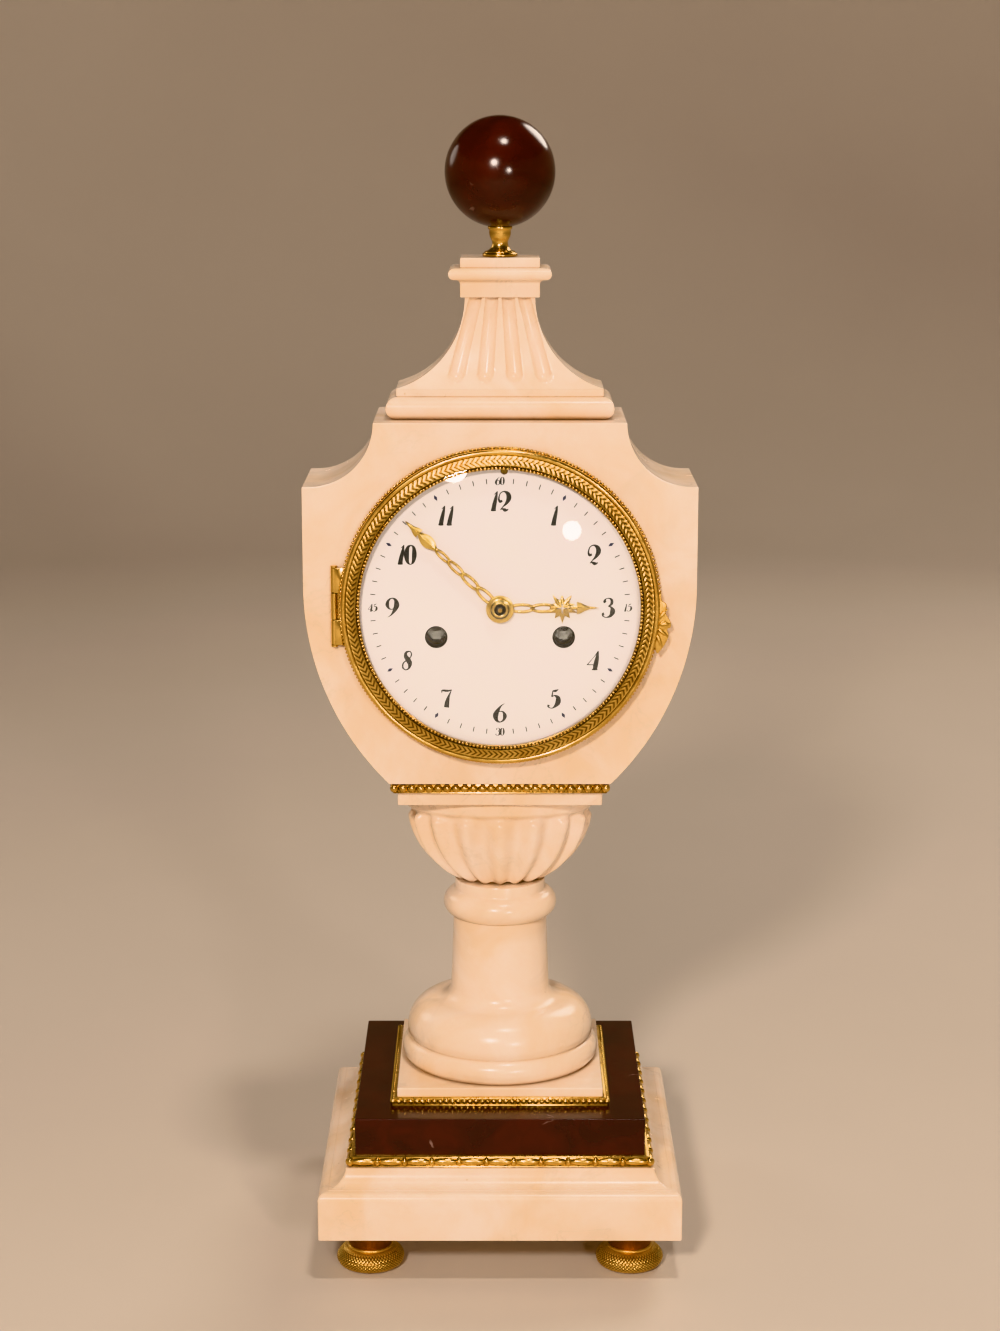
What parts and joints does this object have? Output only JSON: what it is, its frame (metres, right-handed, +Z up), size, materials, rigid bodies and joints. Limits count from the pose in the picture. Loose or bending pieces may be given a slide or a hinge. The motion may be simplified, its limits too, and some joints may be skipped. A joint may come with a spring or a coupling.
{
  "type": "urn clock",
  "caption": "Vase-shaped mantel clock in white and dark red marble with gilt bronze mounts: hinged glazed bezel over an enamel dial, gadrooned bowl on turned foot, ball finial, strike train.",
  "frame": {"origin": "on the surface it stands on, under the middle of the base", "axes": "+Z up, the dial faces -Y, +X to the right seen from the front"},
  "size_m": [0.1704, 0.1586, 0.5],
  "materials": {
    "white_marble": "polished, warm white with faint grey veins",
    "griotte_marble": "polished dark red with sparse pale veins",
    "gilt_bronze": "fire gilt, satin with bright edges",
    "clock_brass": "polished clock brass",
    "bell_metal": "turned bell metal",
    "steel": "polished steel",
    "enamel": "white fired enamel, glossy",
    "glass": "clear domed glass"
  },
  "bodies": {
    "clock": {"foot_front_left": "gilt_bronze", "foot_front_right": "gilt_bronze", "foot_rear_left": "gilt_bronze", "foot_rear_right": "gilt_bronze", "plinth": "white_marble", "lower_beading": "gilt_bronze", "griotte_block": "griotte_marble", "upper_beading": "gilt_bronze", "column_plate": "white_marble", "column": "white_marble", "bowl": "white_marble", "bowl_slab": "white_marble", "case_beading": "gilt_bronze", "tie_rods": "steel", "tie_rod_nuts": "steel", "case": "white_marble", "pediment": "white_marble", "pediment_cap": "white_marble", "finial_stem": "gilt_bronze", "finial_ball": "griotte_marble", "front_ring": "gilt_bronze", "hinge_pins": "gilt_bronze", "false_plate": "clock_brass", "dial": "enamel", "front_plate": "clock_brass", "back_plate": "clock_brass", "pillars": "clock_brass", "fasteners": "steel", "straps": "clock_brass", "clicks": "steel", "suspension_cock": "clock_brass", "bell": "bell_metal", "bell_stand": "steel", "rear_ring": "gilt_bronze"},
    "bezel_door": {"bezel": "gilt_bronze", "bezel_latch": "gilt_bronze", "bezel_glass": "glass"},
    "minute_group": {"minute_hand": "gilt_bronze", "hand_collet": "gilt_bronze", "cannon_pinion": "clock_brass"},
    "hour_group": {"hour_hand": "gilt_bronze", "hour_wheel": "clock_brass"},
    "motion_wheel": {"minute_wheel": "clock_brass"},
    "going_drum": {"going_barrel": "clock_brass"},
    "strike_drum": {"strike_barrel": "clock_brass"},
    "going_key_arbor": {"going_winding_arbor": "steel"},
    "strike_key_arbor": {"strike_winding_arbor": "steel"},
    "intermediate": {"intermediate_wheel": "clock_brass"},
    "centre": {"centre_wheel": "clock_brass"},
    "third": {"third_wheel": "clock_brass"},
    "escape": {"escape_wheel": "clock_brass"},
    "anchor": {"pallets": "steel"},
    "pendulum_bob": {"pendulum": "clock_brass"},
    "count": {"count_wheel": "clock_brass"},
    "pins": {"pin_wheel": "clock_brass"},
    "locking": {"locking_wheel": "clock_brass"},
    "fly_fan": {"fly": "clock_brass"},
    "striker": {"hammer": "steel"},
    "rear_cover": {"rear_door": "gilt_bronze", "rear_glass": "glass"}
  },
  "joints": [
    {"name": "bezel_swing", "type": "hinge", "parent": "clock", "child": "bezel_door", "pos_m": [-0.0716, -0.0307, 0.2924], "axis": [0, 0, -1], "range_deg": [0, 110]},
    {"name": "rear_door_swing", "type": "hinge", "parent": "clock", "child": "rear_cover", "pos_m": [0.0716, 0.0307, 0.2924], "axis": [0, 0, -1], "range_deg": [0, 100]},
    {"name": "minute_turn", "type": "hinge", "parent": "clock", "child": "minute_group", "pos_m": [0, 0, 0.2924], "axis": [0, 1, 0], "continuous": true},
    {"name": "hour_turn", "type": "hinge", "parent": "clock", "child": "hour_group", "pos_m": [0, 0, 0.2924], "axis": [0, 1, 0], "continuous": true},
    {"name": "motion_wheel_turn", "type": "hinge", "parent": "clock", "child": "motion_wheel", "pos_m": [0, 0, 0.2828], "axis": [0, 1, 0], "continuous": true},
    {"name": "third_spin", "type": "hinge", "parent": "clock", "child": "third", "pos_m": [-0.00482, 0, 0.30563], "axis": [0, 1, 0], "continuous": true},
    {"name": "centre_spin", "type": "hinge", "parent": "clock", "child": "centre", "pos_m": [0, 0, 0.2924], "axis": [0, 1, 0], "continuous": true},
    {"name": "intermediate_spin", "type": "hinge", "parent": "clock", "child": "intermediate", "pos_m": [0.01461, 0, 0.29399], "axis": [0, 1, 0], "continuous": true},
    {"name": "going_barrel_spin", "type": "hinge", "parent": "clock", "child": "going_drum", "pos_m": [0.0275, 0, 0.2796], "axis": [0, 1, 0], "continuous": true},
    {"name": "escape_spin", "type": "hinge", "parent": "clock", "child": "escape", "pos_m": [0, 0, 0.31749], "axis": [0, 1, 0], "continuous": true},
    {"name": "locking_spin", "type": "hinge", "parent": "clock", "child": "locking", "pos_m": [-0.01687, 0, 0.31985], "axis": [0, 1, 0], "continuous": true},
    {"name": "pin_wheel_spin", "type": "hinge", "parent": "clock", "child": "pins", "pos_m": [-0.01788, 0, 0.30833], "axis": [0, 1, 0], "continuous": true},
    {"name": "count_spin", "type": "hinge", "parent": "clock", "child": "count", "pos_m": [-0.02918, 0, 0.29885], "axis": [0, 1, 0], "continuous": true},
    {"name": "strike_barrel_spin", "type": "hinge", "parent": "clock", "child": "strike_drum", "pos_m": [-0.0275, 0, 0.2796], "axis": [0, 1, 0], "continuous": true},
    {"name": "fly_spin", "type": "hinge", "parent": "clock", "child": "fly_fan", "pos_m": [-0.01143, 0, 0.32927], "axis": [0, 1, 0], "continuous": true},
    {"name": "going_winding", "type": "hinge", "parent": "clock", "child": "going_key_arbor", "pos_m": [0.0275, 0, 0.2796], "axis": [0, 1, 0], "continuous": true},
    {"name": "strike_winding", "type": "hinge", "parent": "clock", "child": "strike_key_arbor", "pos_m": [-0.0275, 0, 0.2796], "axis": [0, 1, 0], "continuous": true},
    {"name": "pendulum_swing", "type": "hinge", "parent": "clock", "child": "pendulum_bob", "pos_m": [0, 0, 0.3294], "axis": [0, 1, 0], "range_deg": [-3, 3]},
    {"name": "anchor_rock", "type": "hinge", "parent": "clock", "child": "anchor", "pos_m": [0, 0, 0.3294], "axis": [0, 1, 0], "range_deg": [-3, 3]},
    {"name": "hammer_lift", "type": "hinge", "parent": "clock", "child": "striker", "pos_m": [-0.02, 0, 0.2564], "axis": [0, -1, 0], "range_deg": [0, 12], "stiffness_Nm_per_rad": 0.01, "springref_deg": -8.59}
  ],
  "couplings": [
    {"joint": "hour_turn", "follows": "minute_turn", "ratio": 0.083333},
    {"joint": "motion_wheel_turn", "follows": "minute_turn", "ratio": -0.33333},
    {"joint": "centre_spin", "follows": "third_spin", "ratio": -0.1},
    {"joint": "intermediate_spin", "follows": "third_spin", "ratio": 0.016667},
    {"joint": "going_barrel_spin", "follows": "third_spin", "ratio": -0.0025},
    {"joint": "escape_spin", "follows": "third_spin", "ratio": -9},
    {"joint": "pin_wheel_spin", "follows": "locking_spin", "ratio": -0.13333},
    {"joint": "count_spin", "follows": "locking_spin", "ratio": 0.018519},
    {"joint": "strike_barrel_spin", "follows": "locking_spin", "ratio": -0.0027778},
    {"joint": "fly_spin", "follows": "locking_spin", "ratio": -7},
    {"joint": "anchor_rock", "follows": "pendulum_swing", "ratio": 1}
  ]
}
